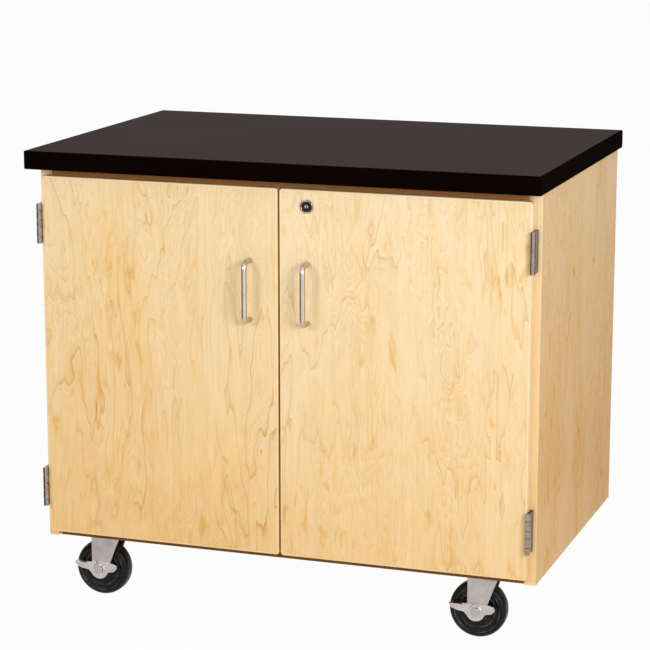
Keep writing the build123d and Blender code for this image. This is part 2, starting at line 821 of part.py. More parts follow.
def make_hanging_strike(name, x, width, thickness, back_y, base_depth, lip_bottom_z):
    """An angle under the top front rail with a lip that hangs down at back_y."""
    lip_front_y = back_y - thickness
    outline = [
        (lip_front_y, lip_bottom_z),
        (back_y, lip_bottom_z),
        (back_y, rail_bottom_z - thickness),
        (lip_front_y + base_depth, rail_bottom_z - thickness),
        (lip_front_y + base_depth, rail_bottom_z),
        (lip_front_y, rail_bottom_z),
    ]
    with BuildPart() as strike:
        with BuildSketch(end_plane(x - width / 2, 0)):
            with BuildLine():
                Polyline(*outline, close=True)
            make_face()
        extrude(amount=width)
    save(strike, name)


def make_magnetic_catch():
    """A moulded body under the rail with a slot across its face for the magnet."""
    with BuildPart() as catch:
        with BuildSketch(Plane.XY.offset(rail_bottom_z)):
            with Locations((magnet_offset, magnet_front_y + magnet_depth / 2)):
                RectangleRounded(magnet_width, magnet_depth, magnet_corner_radius)
        extrude(amount=-magnet_height)
        with BuildSketch(front_plane(magnet_front_y)):
            with Locations((magnet_offset, keeper_z)):
                Rectangle(magnet_slot_width, magnet_slot_height)
        extrude(amount=-magnet_slot_depth, mode=Mode.SUBTRACT)
    save(catch, "magnetic_catch")


def make_catch_keeper():
    with BuildPart() as keeper:
        with BuildSketch(front_plane(door_back_y)):
            with Locations((magnet_offset, keeper_z)):
                RectangleRounded(keeper_width, keeper_height, magnet_corner_radius)
        extrude(amount=-keeper_thickness)
    save(keeper, "catch_keeper")


def make_elbow_bracket():
    """A folded bracket on the back of the door: two ears with a pivot pin between them."""
    inner_half = elbow_lever_width / 2 + elbow_side_gap
    outer_half = inner_half + elbow_sheet_thickness
    ear_radius = elbow_boss_diameter / 2
    with BuildPart() as bracket:
        with BuildSketch(front_plane(door_back_y)):
            with Locations((-elbow_offset, elbow_pivot_z)):
                Rectangle(2 * (outer_half + elbow_bracket_flange), elbow_bracket_height)
        extrude(amount=-elbow_sheet_thickness)
        for inner_x in (-elbow_offset - outer_half, -elbow_offset + inner_half):
            with BuildSketch(end_plane(inner_x, door_back_y)):
                with Locations((elbow_pivot_setback / 2, elbow_pivot_z)):
                    Rectangle(elbow_pivot_setback, 2 * ear_radius)
                with Locations((elbow_pivot_setback, elbow_pivot_z)):
                    Circle(ear_radius)
            extrude(amount=elbow_sheet_thickness)
        with BuildSketch(end_plane(-elbow_offset - outer_half, door_back_y)):
            with Locations((elbow_pivot_setback, elbow_pivot_z)):
                Circle(elbow_pivot_diameter / 2)
        extrude(amount=2 * outer_half)
    save(bracket, "elbow_bracket")


def make_elbow_lever():
    """The lever on the pivot: an arm with a ramped hook behind, and a thumb piece below."""
    half_arm = elbow_arm_thickness / 2
    hook_top = elbow_hook_height + half_arm
    hook_outline = [
        (0, -half_arm),
        (elbow_arm_length + elbow_hook_ramp, -half_arm),
        (elbow_arm_length + elbow_hook_ramp, half_arm),
        (elbow_arm_length, hook_top),
        (elbow_arm_length - elbow_hook_thickness, hook_top),
        (elbow_arm_length - elbow_hook_thickness, half_arm),
        (0, half_arm),
    ]
    with BuildPart() as lever:
        with BuildSketch(end_plane(-elbow_offset - elbow_lever_width / 2, elbow_pivot_y)):
            with BuildLine():
                Polyline(*[(y, elbow_pivot_z + z) for y, z in hook_outline], close=True)
            make_face()
            with Locations((0, elbow_pivot_z - elbow_thumb_length / 2)):
                Rectangle(elbow_arm_thickness, elbow_thumb_length)
            with Locations((0, elbow_pivot_z)):
                Circle(elbow_boss_diameter / 2)
                Circle(elbow_pivot_diameter / 2 + running_clearance, mode=Mode.SUBTRACT)
        extrude(amount=elbow_lever_width)
    save(lever, "elbow_lever")


def make_caster_plate(name, x, y):
    """The mounting plate with the fixed race pressed down out of its middle."""
    with BuildPart() as plate:
        with BuildSketch(Plane.XY.offset(plate_bottom_z)):
            with Locations((x, y)):
                RectangleRounded(plate_length, plate_width, plate_corner_radius)
        extrude(amount=plate_thickness)
        with BuildSketch(Plane.XY.offset(race_bottom_z)):
            with Locations((x, y)):
                Circle(race_diameter / 2)
        extrude(amount=race_depth)
        with BuildSketch(Plane.XY.offset(race_bottom_z)):
            with Locations((x, y)):
                Circle(kingpin_diameter / 2 + fixed_clearance)
                with GridLocations(plate_bolt_spacing_x, plate_bolt_spacing_y, 2, 2):
                    Circle(plate_hole_diameter / 2)
        extrude(amount=race_depth + plate_thickness, mode=Mode.SUBTRACT)
    save(plate, f"{name}_caster_plate")


def make_kingpins():
    """The pins that the forks swivel on, each with a riveted head under its fork."""
    head_top_z = crown_bottom_z - kingpin_head_gap
    with BuildPart() as pins:
        with BuildSketch(Plane.XY.offset(head_top_z)):
            with Locations(*caster_places.values()):
                Circle(kingpin_diameter / 2)
        extrude(amount=carcass_bottom_z - head_top_z)
        with BuildSketch(Plane.XY.offset(head_top_z)):
            with Locations(*caster_places.values()):
                Circle(kingpin_head_diameter / 2)
        extrude(amount=-kingpin_head_height)
    save(pins, "caster_kingpins")


def make_caster_bolts():
    with BuildPart() as bolts:
        with BuildSketch(Plane.XY.offset(plate_bottom_z)):
            with Locations(*caster_bolt_places()):
                Circle(caster_bolt_diameter / 2)
        extrude(amount=plate_thickness + caster_bolt_length)
        with BuildSketch(Plane.XY.offset(plate_bottom_z)):
            with Locations(*caster_bolt_places()):
                RegularPolygon(caster_bolt_flats / 2, hexagon_sides, major_radius=False)
        extrude(amount=-caster_bolt_head_height)
    save(bolts, "caster_bolts")


def make_fork(name, x, y):
    """A folded fork: a crown with a raised race cup, and two legs that slant to the axle."""
    axle_x = x - caster_trail
    leg_outline = [
        (axle_x - leg_end_radius, axle_z),
        (axle_x + leg_end_radius, axle_z),
        (x + leg_top_reach, crown_bottom_z),
        (x + leg_top_reach, crown_top_z),
        (axle_x - leg_end_radius, crown_top_z),
    ]
    with BuildPart() as fork:
        with BuildSketch(front_plane(y)):
            with BuildLine():
                Polyline(*leg_outline, close=True)
            make_face()
            with Locations((axle_x, axle_z)):
                Circle(leg_end_radius)
        extrude(amount=leg_outer_y, both=True)
        folds = fork.edges().filter_by(Axis.X).group_by(Axis.Z)[-1]
        fillet(folds, crown_bend_radius)
        with BuildSketch(front_plane(y)):
            with Locations((x, crown_bottom_z / 2)):
                Rectangle(2 * worktop_depth, crown_bottom_z)
        extrude(amount=leg_inner_y, both=True, mode=Mode.SUBTRACT)
        with BuildSketch(Plane.XY.offset(crown_bottom_z)):
            with Locations((x, y)):
                Circle(cup_outer_radius)
        extrude(amount=race_gap + race_depth + crown_thickness - race_lid_gap)
        with BuildSketch(Plane.XY.offset(crown_top_z)):
            with Locations((x, y)):
                Circle(cup_inner_radius)
        extrude(amount=race_gap + race_depth, mode=Mode.SUBTRACT)
        with BuildSketch(Plane.XY.offset(crown_bottom_z)):
            with Locations((x, y)):
                Circle(kingpin_diameter / 2 + running_clearance)
        extrude(amount=crown_thickness, mode=Mode.SUBTRACT)
        with BuildSketch(front_plane(y)):
            with Locations((axle_x, axle_z)):
                Circle(axle_diameter / 2 + fixed_clearance)
        extrude(amount=leg_outer_y, both=True, mode=Mode.SUBTRACT)
    save(fork, f"{name}_fork")


def make_axle(name, x, y):
    """A bolt with a round head at the front, a nut at the back and a sleeve between the legs."""
    axle_x = x - caster_trail
    head_back_y = leg_outer_y
    if name in braked_casters:
        head_back_y = brake_front_y + brake_boss_height + brake_side_gap
    bolt_end_y = leg_outer_y + axle_nut_height + axle_stub_length
    with BuildPart() as axle:
        with BuildSketch(front_plane(y - head_back_y)):
            with Locations((axle_x, axle_z)):
                Circle(axle_head_diameter / 2)
        extrude(amount=axle_head_height)
        fillet(axle.faces().sort_by(Axis.Y)[0].edges(), axle_head_radius)
        with BuildSketch(front_plane(y + bolt_end_y)):
            with Locations((axle_x, axle_z)):
                Circle(axle_diameter / 2)
        extrude(amount=bolt_end_y + head_back_y)
        with BuildSketch(front_plane(y + leg_outer_y)):
            with Locations((axle_x, axle_z)):
                RegularPolygon(axle_nut_flats / 2, hexagon_sides, major_radius=False)
                Circle(axle_diameter / 2 + fixed_clearance, mode=Mode.SUBTRACT)
        extrude(amount=-axle_nut_height)
        with BuildSketch(front_plane(y)):
            with Locations((axle_x, axle_z)):
                Circle(axle_sleeve_diameter / 2)
                Circle(axle_diameter / 2 + fixed_clearance, mode=Mode.SUBTRACT)
        extrude(amount=leg_inner_y, both=True)
    save(axle, f"{name}_axle")


def make_wheel(name, x, y):
    """A solid wheel turned from one profile: tread, round shoulders, rim, ringed web and hub."""
    radius = wheel_diameter / 2
    rim_inner = radius - wheel_rim_depth
    ring_radius = wheel_ring_diameter / 2
    hub_radius = wheel_hub_diameter / 2
    half_profile = [
        (wheel_hub_length / 2, axle_sleeve_diameter / 2 + running_clearance),
        (wheel_hub_length / 2, hub_radius - wheel_dish_run),
        (wheel_ring_width / 2, hub_radius),
        (wheel_ring_width / 2, ring_radius - wheel_dish_run),
        (wheel_web_width / 2, ring_radius),
        (wheel_web_width / 2, rim_inner - wheel_dish_run),
        (wheel_width / 2, rim_inner),
        (wheel_width / 2, radius),
    ]
    mirrored = [(-across, out) for across, out in reversed(half_profile)]
    place = Plane(origin=(x - caster_trail, y, axle_z), x_dir=(0, 1, 0), z_dir=(1, 0, 0))
    with BuildPart() as wheel:
        with BuildSketch(place) as section:
            with BuildLine():
                Polyline(*half_profile, *mirrored, close=True)
            make_face()
            fillet(section.vertices().group_by(Axis.Y)[-1], wheel_shoulder_radius)
        revolve(axis=Axis(place.origin, (0, 1, 0)))
    save(wheel, f"{name}_wheel")


def wing_points(axle_x, reach, shares):
    """The outline of one wing of a brake lever, as X and Z."""
    return [(axle_x + across * reach, axle_z + up * brake_top_height) for across, up in shares]


def make_brake_lever(name, x, y):
    """A flat-topped, two-winged lever on the axle bolt, with a raised boss and a foot pedal."""
    axle_x = x - caster_trail
    left_wing = wing_points(axle_x, -brake_left_reach, brake_left_wing_shares)
    right_wing = wing_points(axle_x, brake_right_reach, brake_right_wing_shares)
    pedal_x = axle_x - brake_left_reach + brake_pedal_length / 2 + brake_corner_radius
    pedal_y = y - brake_back_y - brake_pedal_projection / 2
    with BuildPart() as lever:
        with BuildSketch(front_plane(y - brake_front_y)):
            with Locations((axle_x, axle_z)):
                Circle(brake_boss_diameter / 2)
        extrude(amount=brake_boss_height)
        fillet(lever.faces().sort_by(Axis.Y)[0].edges(), brake_boss_radius)
        with BuildSketch(front_plane(y - brake_back_y)) as face:
            with BuildLine():
                Polyline(*left_wing, *right_wing, close=True)
            make_face()
            fillet(face.vertices(), brake_corner_radius)
            with Locations((axle_x, axle_z)):
                Circle(brake_hub_radius)
            with Locations((axle_x, axle_z + brake_top_height + brake_hub_radius / 2)):
                Rectangle(2 * brake_hub_radius, brake_hub_radius, mode=Mode.SUBTRACT)
            with Locations((axle_x - brake_notch_offset, axle_z + brake_top_height)):
                Circle(brake_notch_radius, mode=Mode.SUBTRACT)
        extrude(amount=brake_thickness)
        with BuildSketch(Plane.XY.offset(axle_z + brake_top_height - brake_thickness)):
            with Locations((pedal_x, pedal_y)):
                Rectangle(brake_pedal_length, brake_pedal_projection)
        extrude(amount=brake_thickness)
        pedal_corners = lever.edges().filter_by(Axis.Z).group_by(Axis.Y)[0]
        fillet(pedal_corners, brake_pedal_radius)
        with BuildSketch(front_plane(y - brake_back_y)):
            with Locations((axle_x, axle_z)):
                Circle(axle_diameter / 2 + running_clearance)
        extrude(amount=brake_thickness + brake_boss_height, mode=Mode.SUBTRACT)
    save(lever, f"{name}_brake_lever")


make_worktop_board()
make_worktop_edge_band()
make_bottom_panel()
make_back_panel()
make_top_rail("top_front_rail", carcass_front_y)
make_top_rail("top_rear_rail", board_back_y - rail_depth)
make_carcass_edge_bands()
make_shelf()
make_shelf_pins()
make_hinge_pins()
make_frame_hinge_screws()

for hand_name, hand_sign in hands.items():
    make_side_panel(hand_name, hand_sign)
    make_door_panel(hand_name, hand_sign)
    make_door_edge_band(hand_name, hand_sign)
    make_door_screws(hand_name, hand_sign)
    make_pull(hand_name, hand_sign)
    for level, level_bottom_z in hinge_bottoms_z.items():
        make_frame_leaf(f"{hand_name}_{level}", hand_sign, level_bottom_z)
        make_door_leaf(f"{hand_name}_{level}", hand_sign, level_bottom_z)

make_lock_cylinder()
make_lock_nut()
make_lock_plug()
make_lock_cam()
make_hanging_strike(
    "lock_strike",
    lock_offset,
    lock_strike_width,
    lock_strike_thickness,
    lock_strike_back_y,
    lock_strike_base_depth,
    lock_strike_bottom_z,
)
make_magnetic_catch()
make_catch_keeper()
make_elbow_bracket()
make_elbow_lever()
make_hanging_strike(
    "elbow_strike",
    -elbow_offset,
    elbow_strike_width,
    elbow_sheet_thickness,
    elbow_lip_back_y,
    elbow_strike_base_depth,
    elbow_lip_bottom_z,
)

make_kingpins()
make_caster_bolts()
for caster, (caster_place_x, caster_place_y) in caster_places.items():
    make_caster_plate(caster, caster_place_x, caster_place_y)
    make_fork(caster, caster_place_x, caster_place_y)
    make_axle(caster, caster_place_x, caster_place_y)
    make_wheel(caster, caster_place_x, caster_place_y)
    if caster in braked_casters:
        make_brake_lever(caster, caster_place_x, caster_place_y)
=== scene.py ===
import json
import math

import bmesh
import bpy
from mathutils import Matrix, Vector


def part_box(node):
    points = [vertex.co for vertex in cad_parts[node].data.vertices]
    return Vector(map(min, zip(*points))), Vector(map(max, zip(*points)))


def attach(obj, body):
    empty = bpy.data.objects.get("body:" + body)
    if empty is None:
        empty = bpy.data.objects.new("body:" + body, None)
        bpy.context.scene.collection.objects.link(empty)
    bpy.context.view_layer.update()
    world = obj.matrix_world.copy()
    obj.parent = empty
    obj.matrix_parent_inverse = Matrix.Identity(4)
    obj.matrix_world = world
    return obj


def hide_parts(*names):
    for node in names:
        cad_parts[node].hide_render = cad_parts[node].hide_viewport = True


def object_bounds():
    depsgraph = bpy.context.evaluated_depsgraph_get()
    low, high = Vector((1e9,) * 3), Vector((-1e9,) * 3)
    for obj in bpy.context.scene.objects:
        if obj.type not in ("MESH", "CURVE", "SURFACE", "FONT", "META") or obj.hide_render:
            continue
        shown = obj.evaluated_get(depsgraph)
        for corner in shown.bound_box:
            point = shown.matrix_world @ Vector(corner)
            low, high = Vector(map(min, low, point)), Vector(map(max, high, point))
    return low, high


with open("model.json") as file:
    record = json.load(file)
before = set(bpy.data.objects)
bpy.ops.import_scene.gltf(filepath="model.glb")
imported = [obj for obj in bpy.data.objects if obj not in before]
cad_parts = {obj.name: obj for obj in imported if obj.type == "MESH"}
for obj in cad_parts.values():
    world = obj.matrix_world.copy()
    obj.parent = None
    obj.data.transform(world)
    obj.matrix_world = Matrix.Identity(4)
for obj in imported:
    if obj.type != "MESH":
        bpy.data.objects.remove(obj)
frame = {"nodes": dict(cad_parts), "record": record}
cad_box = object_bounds()
nodes = frame["nodes"]
casters = ("front_left", "front_right", "rear_left", "rear_right")
braked_casters = ("front_left", "front_right")
screw_nodes = {
    "frame_hinge_screws": "cabinet",
    "left_door_screws": "left_door",
    "right_door_screws": "right_door",
}
white = (1.0, 1.0, 1.0)
millimetre = 1 / 1000
quarter_turn = math.radians(90)

# Camera, fitted to the corners of the cabinet in the photograph
camera_place = (1.356, -3.928, 1.389)
camera_yaw = math.radians(19.22)
camera_pitch = math.radians(12.16)
camera_lens = 130.7
camera_sensor = 36.0

# Two soft lamps, one to each side of the camera: where each stands, how wide it is, its power
lamp_aim = (0.0, -0.25, 0.45)
lamps = {
    "soft_right": ((2.6, -2.6, 1.55), 1.3, 65.0),
    "soft_left": ((-1.5, -3.35, 1.8), 1.3, 38.0),
}

# The surround: how strongly and in which tone it lights, and how strongly it shows
world_strength = 0.4
world_warmth = (1.0, 0.93, 0.86)
world_glow = 0.977

# The floor: its width, its colour, and the share of it that glows where it is seen
floor_size = 80.0
floor_colour = (0.9, 0.9, 0.9)
floor_glow = 0.965

# Dark cards for the metal to mirror: their section as reach and height, and from where to where
# each one stands, in degrees to the left of the front
flag_section = [(1.0, 0.004), (5.0, 0.004), (5.0, 4.0)]
flag_steps = 14
flags = {"flag_left": (28.0, 78.0), "flag_right": (-150.0, -100.0)}
flag_colours = ((0.02, 0.018, 0.016), (0.03, 0.027, 0.024))
flag_weave = (40.0, 2.0)
flag_roughness = 0.9


class Graph:
    """A node tree, with short calls that add nodes to it."""

    def __init__(self, tree):
        self.tree = tree

    def add(self, kind, inputs, **settings):
        node = self.tree.nodes.new("ShaderNode" + kind)
        for key, value in settings.items():
            setattr(node, key, value)
        for key, value in inputs.items():
            self.feed(node.inputs[key], value)
        return node

    def feed(self, socket, value):
        """Link a socket or set it. A colour is given as three numbers."""
        if isinstance(value, bpy.types.NodeSocket):
            self.tree.links.new(value, socket)
        elif socket.type == "RGBA":
            socket.default_value = (*value, 1.0)
        else:
            socket.default_value = value

    def math(self, operation, first, second=0.0):
        return self.add("Math", {0: first, 1: second}, operation=operation).outputs[0]

    def plus(self, first, second):
        return self.math("ADD", first, second)

    def times(self, first, second):
        return self.math("MULTIPLY", first, second)

    def span(self, value, low, high, to_low=0.0, to_high=1.0):
        """Carry a value from one range to another, and hold it there."""
        return self.add("MapRange", {0: value, 1: low, 2: high, 3: to_low, 4: to_high}).outputs[0]

    def mix(self, factor, first, second, blend="MIX"):
        inputs = {0: factor, 6: first, 7: second}
        return self.add("Mix", inputs, data_type="RGBA", blend_type=blend).outputs[2]

    def multiply(self, first, second):
        """Multiply two colours."""
        return self.mix(1.0, first, second, "MULTIPLY")

    def grey(self, shade):
        return self.add("CombineXYZ", {0: shade, 1: shade, 2: shade}).outputs[0]

    def coordinates(self):
        """The place on the object, in metres."""
        return self.add("TexCoord", {}).outputs["Object"]

    def axis(self, name):
        """One of the coordinates: X, Y or Z."""
        return self.add("SeparateXYZ", {0: self.coordinates()}).outputs[name]

    def reach(self, point):
        """The distance from a line along Y through a point."""
        start = {0: self.coordinates(), 1: point}
        arm = self.add("VectorMath", start, operation="SUBTRACT").outputs[0]
        flat = self.add("VectorMath", {0: arm, 1: (1.0, 0.0, 1.0)}, operation="MULTIPLY").outputs[0]
        return self.add("VectorMath", {0: flat}, operation="LENGTH").outputs["Value"]

    def noise(self, cells, detail=2.0, roughness=0.5, distortion=0.0, vector=None):
        """Noise with so many cells in a metre: one number, or one each for X, Y and Z."""
        scale = cells if isinstance(cells, tuple) else (cells, cells, cells)
        start = self.coordinates() if vector is None else vector
        inputs = {
            "Vector": self.add("Mapping", {"Vector": start, "Scale": scale}).outputs[0],
            "Scale": 1.0,
            "Detail": detail,
            "Roughness": roughness,
            "Distortion": distortion,
        }
        return self.add("TexNoise", inputs).outputs[0]

    def seen_ray(self):
        """One for rays from the camera and for mirrored or transmitted rays, else zero."""
        path = self.add("LightPath", {}).outputs
        mirrored = self.math("MAXIMUM", path["Is Camera Ray"], path["Is Glossy Ray"])
        return self.math("MAXIMUM", mirrored, path["Is Transmission Ray"])


class Surface(Graph):
    """A new material with its Principled shader."""

    def __init__(self, name):
        self.material = bpy.data.materials.new(name)
        self.material.use_nodes = True
        super().__init__(self.material.node_tree)
        self.shader = self.tree.nodes["Principled BSDF"]

    def set(self, **values):
        """Set or link sockets of the shader, by name with underscores for spaces."""
        for key, value in values.items():
            self.feed(self.shader.inputs[key.replace("_", " ")], value)

    def relief(self, height, strength, distance, rounding=0.0):
        """Bump from a height, on edges that are rounded a little where asked."""
        inputs = {"Height": height, "Strength": strength, "Distance": distance}
        if rounding:
            bevel = self.add("Bevel", {"Radius": rounding}, samples=bevel_samples)
            inputs["Normal"] = bevel.outputs[0]
        self.set(Normal=self.add("Bump", inputs).outputs[0])


def middle(node):
    """The middle of a node's box, in metres."""
    low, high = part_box(node)
    return tuple((a + b) / 2 for a, b in zip(low, high))


def dulled(colour, amount):
    return tuple(channel * (1.0 - amount) for channel in colour)


# Materials. Their noise is given as cells in a metre, detail, roughness and distortion, as far as
# they aren't the usual ones, and their relief as strength, depth and edge rounding.
bevel_samples = 6

# Spreads of noise values, which lie about a half
wide_spread = (0.3, 0.7)
narrow_spread = (0.35, 0.65)

# Turns that lay a board's grain along the Z of the pattern
grain_turns = {
    "upright_front": (0.0, 0.0, 0.0),
    "upright_side": (0.0, 0.0, quarter_turn),
    "level": (0.0, quarter_turn, 0.0),
}

# Linear colours of the veneer: pale ground, amber clouds, growth lines, mineral spots, and the tone
# at the foot, with the heights between which it fades
maple_ground = (0.915, 0.74, 0.485)
maple_cloud = (0.85, 0.6, 0.265)
maple_line = (0.63, 0.32, 0.065)
maple_spot = (0.76, 0.42, 0.09)
maple_foot = (0.95, 0.87, 0.73)
foot_heights = (0.15, 0.75)

# Colours multiplied over parts of boards: painted shade on the edge under the doors and the rail
# over them, a pinker tint of the sides, and painted shade on the edges where the doors meet
foot_painted_shade = (0.25, 0.15, 0.07)
rail_painted_shade = (0.66, 0.4, 0.23)
side_stain = (1.0, 0.95, 0.955)
meeting_painted_shade = (0.75, 0.66, 0.52)

# Noise in the veneer, with its cells across the board, through it and along the grain
veneer_noise = {
    "growth": ((8.5, 8.5, 1.8), 4.0, 0.52, 0.35),
    "ring_patch": ((5.0, 5.0, 1.8), 2.0),
    "contour_patch": ((10.0, 10.0, 3.4), 2.0),
    "cloud": ((9.0, 9.0, 2.6), 4.0, 0.6, 0.6),
    "mottle": ((30.0, 30.0, 12.0), 3.0, 0.55, 1.2),
    "spot": ((58.0, 58.0, 19.0), 2.0, 0.5, 0.8),
    "curl": ((36.0, 36.0, 52.0), 3.0, 0.55, 2.2),
    "streak": ((190.0, 190.0, 2.6), 3.0, 0.55),
    "fibre": ((700.0, 700.0, 14.0), 2.0, 0.6),
    "pore": ((520.0, 520.0, 60.0), 1.0),
}

# Growth lines: how many there are, how thin, the noise that they fade with and its spread
ring_lines = (10.0, 14.0, "ring_patch", (0.4, 0.56))
contour_lines = (46.0, 2.5, "contour_patch", (0.34, 0.62))
contour_strength = 0.26

# Spots and pores: the noise values between which they come up, and how strong they are
spot_spread = (0.58, 0.74)
spot_cloud_spread = (0.42, 0.58)
spot_strength = 0.7
pore_spread = (0.66, 0.78)
pore_strength = 0.14

# Warmth, which says how far the ground turns amber: from noise values to its parts, and from their
# sum to a share below and above the board's own
cloud_warmth = (0.34, 0.68, 0.0, 0.7)
mottle_warmth = (0.35, 0.7, -0.15, 0.35)
curl_warmth = 0.22
warmth_spread = (-0.2, 1.2)
amber_below = 0.38
amber_above = 0.53

# Light and dark in the veneer, its lacquer and its relief
streak_light = 0.03
fibre_light = 0.025
curl_light = 0.025
lacquer_roughness = (0.25, 0.75, 0.38, 0.5)
lacquer_specular = 0.06
veneer_relief = (0.1, 0.0003, 0.0006)


def maple(name, lie, offset, bold, figure, amber, shade, tint_and_shade=None, tint_and_shade_reach=0.0):
    """Lacquered rotary-cut maple: growth lines in long islands, curl, streaks and amber spots.

    A tint or a painted shade, where given, colours the wood nearer the middle than the given reach.
    """
    g = Surface(name)
    lay = {"Vector": g.coordinates(), "Location": offset, "Rotation": grain_turns[lie]}
    board = g.add("Mapping", lay).outputs[0]
    noise = {key: g.noise(*values, vector=board) for key, values in veneer_noise.items()}

    def growth_lines(count, sharpness, patch, spread):
        steps = g.math("FRACT", g.times(noise["growth"], count))
        return g.times(g.math("POWER", steps, sharpness), g.span(noise[patch], *spread))

    def swing(key, amount, about=0.0):
        return g.span(noise[key], *wide_spread, about - amount, about + amount)

    spot = g.span(noise["spot"], *spot_spread)
    spot = g.times(spot, g.span(noise["cloud"], *spot_cloud_spread))
    pore = g.span(noise["pore"], *pore_spread)
    warm = g.plus(g.span(noise["cloud"], *cloud_warmth), g.span(noise["mottle"], *mottle_warmth))
    warm = g.plus(warm, swing("curl", curl_warmth * figure))
    warm = g.span(warm, *warmth_spread, amber - amber_below, amber + amber_above)
    colour = g.mix(warm, maple_ground, maple_cloud)
    contours = g.times(growth_lines(*contour_lines), contour_strength * figure)
    colour = g.mix(contours, colour, maple_line)
    colour = g.mix(g.times(growth_lines(*ring_lines), bold), colour, maple_line)
    colour = g.mix(g.times(spot, spot_strength * figure), colour, maple_spot)
    colour = g.mix(g.times(pore, pore_strength), colour, maple_line)
    foot = g.mix(g.span(g.axis("Z"), *foot_heights), maple_foot, white)
    colour = g.multiply(colour, foot)
    light = g.plus(swing("streak", streak_light), swing("fibre", fibre_light))
    light = g.plus(light, swing("curl", curl_light * figure, shade))
    colour = g.multiply(colour, g.grey(light))
    # The sides' tint, and painted shade on the rail, the foot edge and the meeting edges
    if tint_and_shade:
        within = g.math("LESS_THAN", g.math("ABSOLUTE", g.axis("X")), tint_and_shade_reach)
        colour = g.mix(within, colour, g.multiply(colour, tint_and_shade))
    g.set(Base_Color=colour, Specular_IOR_Level=lacquer_specular)
    g.set(Roughness=g.span(noise["fibre"], *lacquer_roughness))
    g.relief(g.math("SUBTRACT", noise["fibre"], pore), *veneer_relief)
    return g.material


# Laminate: noise of its grit and its haze, roughness of ground and coat, relief
laminate_grit = (900.0, 2.0, 0.6)
laminate_haze = (5.0, 3.0)
laminate_roughness = (0.45, 0.6)
laminate_coat_roughness = 0.17
laminate_relief = (0.04, 0.0002)


def laminate(name, low, high, gloss, rounding=0.0):
    """Near-black laminate: a matt ground under a thin satin coat, with a fine grit."""
    g = Surface(name)
    grit = g.noise(*laminate_grit)
    haze = g.noise(*laminate_haze)
    g.set(Base_Color=g.mix(g.span(haze, *narrow_spread), low, high))
    g.set(Roughness=g.span(grit, *wide_spread, *laminate_roughness), Specular_IOR_Level=0.0)
    g.set(Coat_Weight=gloss, Coat_Roughness=laminate_coat_roughness)
    g.relief(grit, *laminate_relief, rounding)
    return g.material


# Metal: noise of its brush lines and clouds, how much a cloud dulls it, how far its roughness goes
# to either side, the relief of the lines and the usual rounding of its edges
brush_lines = ((60.0, 60.0, 900.0), 2.0, 0.6)
metal_clouds = (60.0, 3.0)
metal_dulling = 0.16
metal_swing = 0.06
brush_relief = (0.06, 0.0002)
metal_rounding = 0.0004


def metal(name, colour, roughness, rounding=metal_rounding):
    """Plated or satin metal, with brush lines and a little cloudiness."""
    g = Surface(name)
    lines = g.noise(*brush_lines)
    cloud = g.noise(*metal_clouds)
    clouded = g.mix(g.span(cloud, *narrow_spread), colour, dulled(colour, metal_dulling))
    g.set(Base_Color=clouded, Metallic=1.0)
    mean = g.times(g.plus(lines, cloud), 0.5)
    g.set(Roughness=g.span(mean, *wide_spread, roughness - metal_swing, roughness + metal_swing))
    g.relief(lines, *brush_relief, rounding)
    return g.material


# Rubber: noise of its grain and its scuffs, its colours, and from which noise values to which
# strength it is scuffed
rubber_grain = (700.0, 2.0)
rubber_scuffs = (60.0, 4.0, 0.65)
rubber_black = (0.0055, 0.005, 0.005)
rubber_scuff_and_highlight = (0.12, 0.11, 0.107)
rubber_wear = (0.56, 0.8, 0.0, 0.4)
rubber_roughness = (0.3, 0.46)
rubber_specular = 0.16
rubber_relief = (0.08, 0.0003, 0.0008)

# Ridges of a wheel that carry a painted highlight in patches: distances from the axle and half
# their width
highlighted_ridges = (0.0317, 0.0405)
highlight_half_width = 0.0011
highlight_patches = (0.4, 0.6)


def rubber(name, wheel):
    """Hard black rubber, moulded grain, pale scuffs, and painted highlights on the ridges of its
    side.
    """
    g = Surface(name)
    grain = g.noise(*rubber_grain)
    scuff = g.noise(*rubber_scuffs)
    reach = g.reach(middle(wheel))
    scuffs_and_highlights = g.span(scuff, *rubber_wear)
    # Painted highlights on the ridges, in patches, added to the scuffs
    for ridge in highlighted_ridges:
        off = g.math("ABSOLUTE", g.math("SUBTRACT", reach, ridge))
        ridge_highlight = g.span(off, 0.0, highlight_half_width, 1.0, 0.0)
        scuffs_and_highlights = g.plus(scuffs_and_highlights, g.times(ridge_highlight, g.span(scuff, *highlight_patches)))
    g.set(Base_Color=g.mix(g.span(scuffs_and_highlights, 0.0, 1.0), rubber_black, rubber_scuff_and_highlight))
    g.set(Roughness=g.span(scuff, *wide_spread, *rubber_roughness))
    g.set(Specular_IOR_Level=rubber_specular)
    g.relief(grain, *rubber_relief)
    return g.material


# Hinge steel: clear and clouded colours of the barrels and of the plates, the plates' ones painted
# shade and dark reflection, and the depths from the door's face between which one turns into the
# other
hinge_bright = ((0.41, 0.35, 0.31), (0.32, 0.265, 0.23))
hinge_painted_shade = ((0.12, 0.086, 0.07), (0.085, 0.058, 0.047))
hinge_turnover = (-0.0008, 0.0004)
hinge_clouds = (90.0, 3.0)
hinge_roughness = (0.13, 0.22)
hinge_rounding = 0.0003


def hinge_steel(name):
    """Nickelled steel, bright on the barrels, painted dark as shade and reflection on the plates
    behind the door faces.
    """
    g = Surface(name)
    lines = g.noise(*brush_lines)
    cloud = g.span(g.noise(*hinge_clouds), *narrow_spread)
    door_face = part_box("left_door_panel")[0][1]
    # Painted shade and dark reflection on the plates behind the door's face
    behind = g.span(g.axis("Y"), *(door_face + depth for depth in hinge_turnover))
    colour = g.mix(behind, g.mix(cloud, *hinge_bright), g.mix(cloud, *hinge_painted_shade))
    g.set(Base_Color=colour, Metallic=1.0, Roughness=g.span(lines, *wide_spread, *hinge_roughness))
    g.relief(lines, *brush_relief, hinge_rounding)
    return g.material


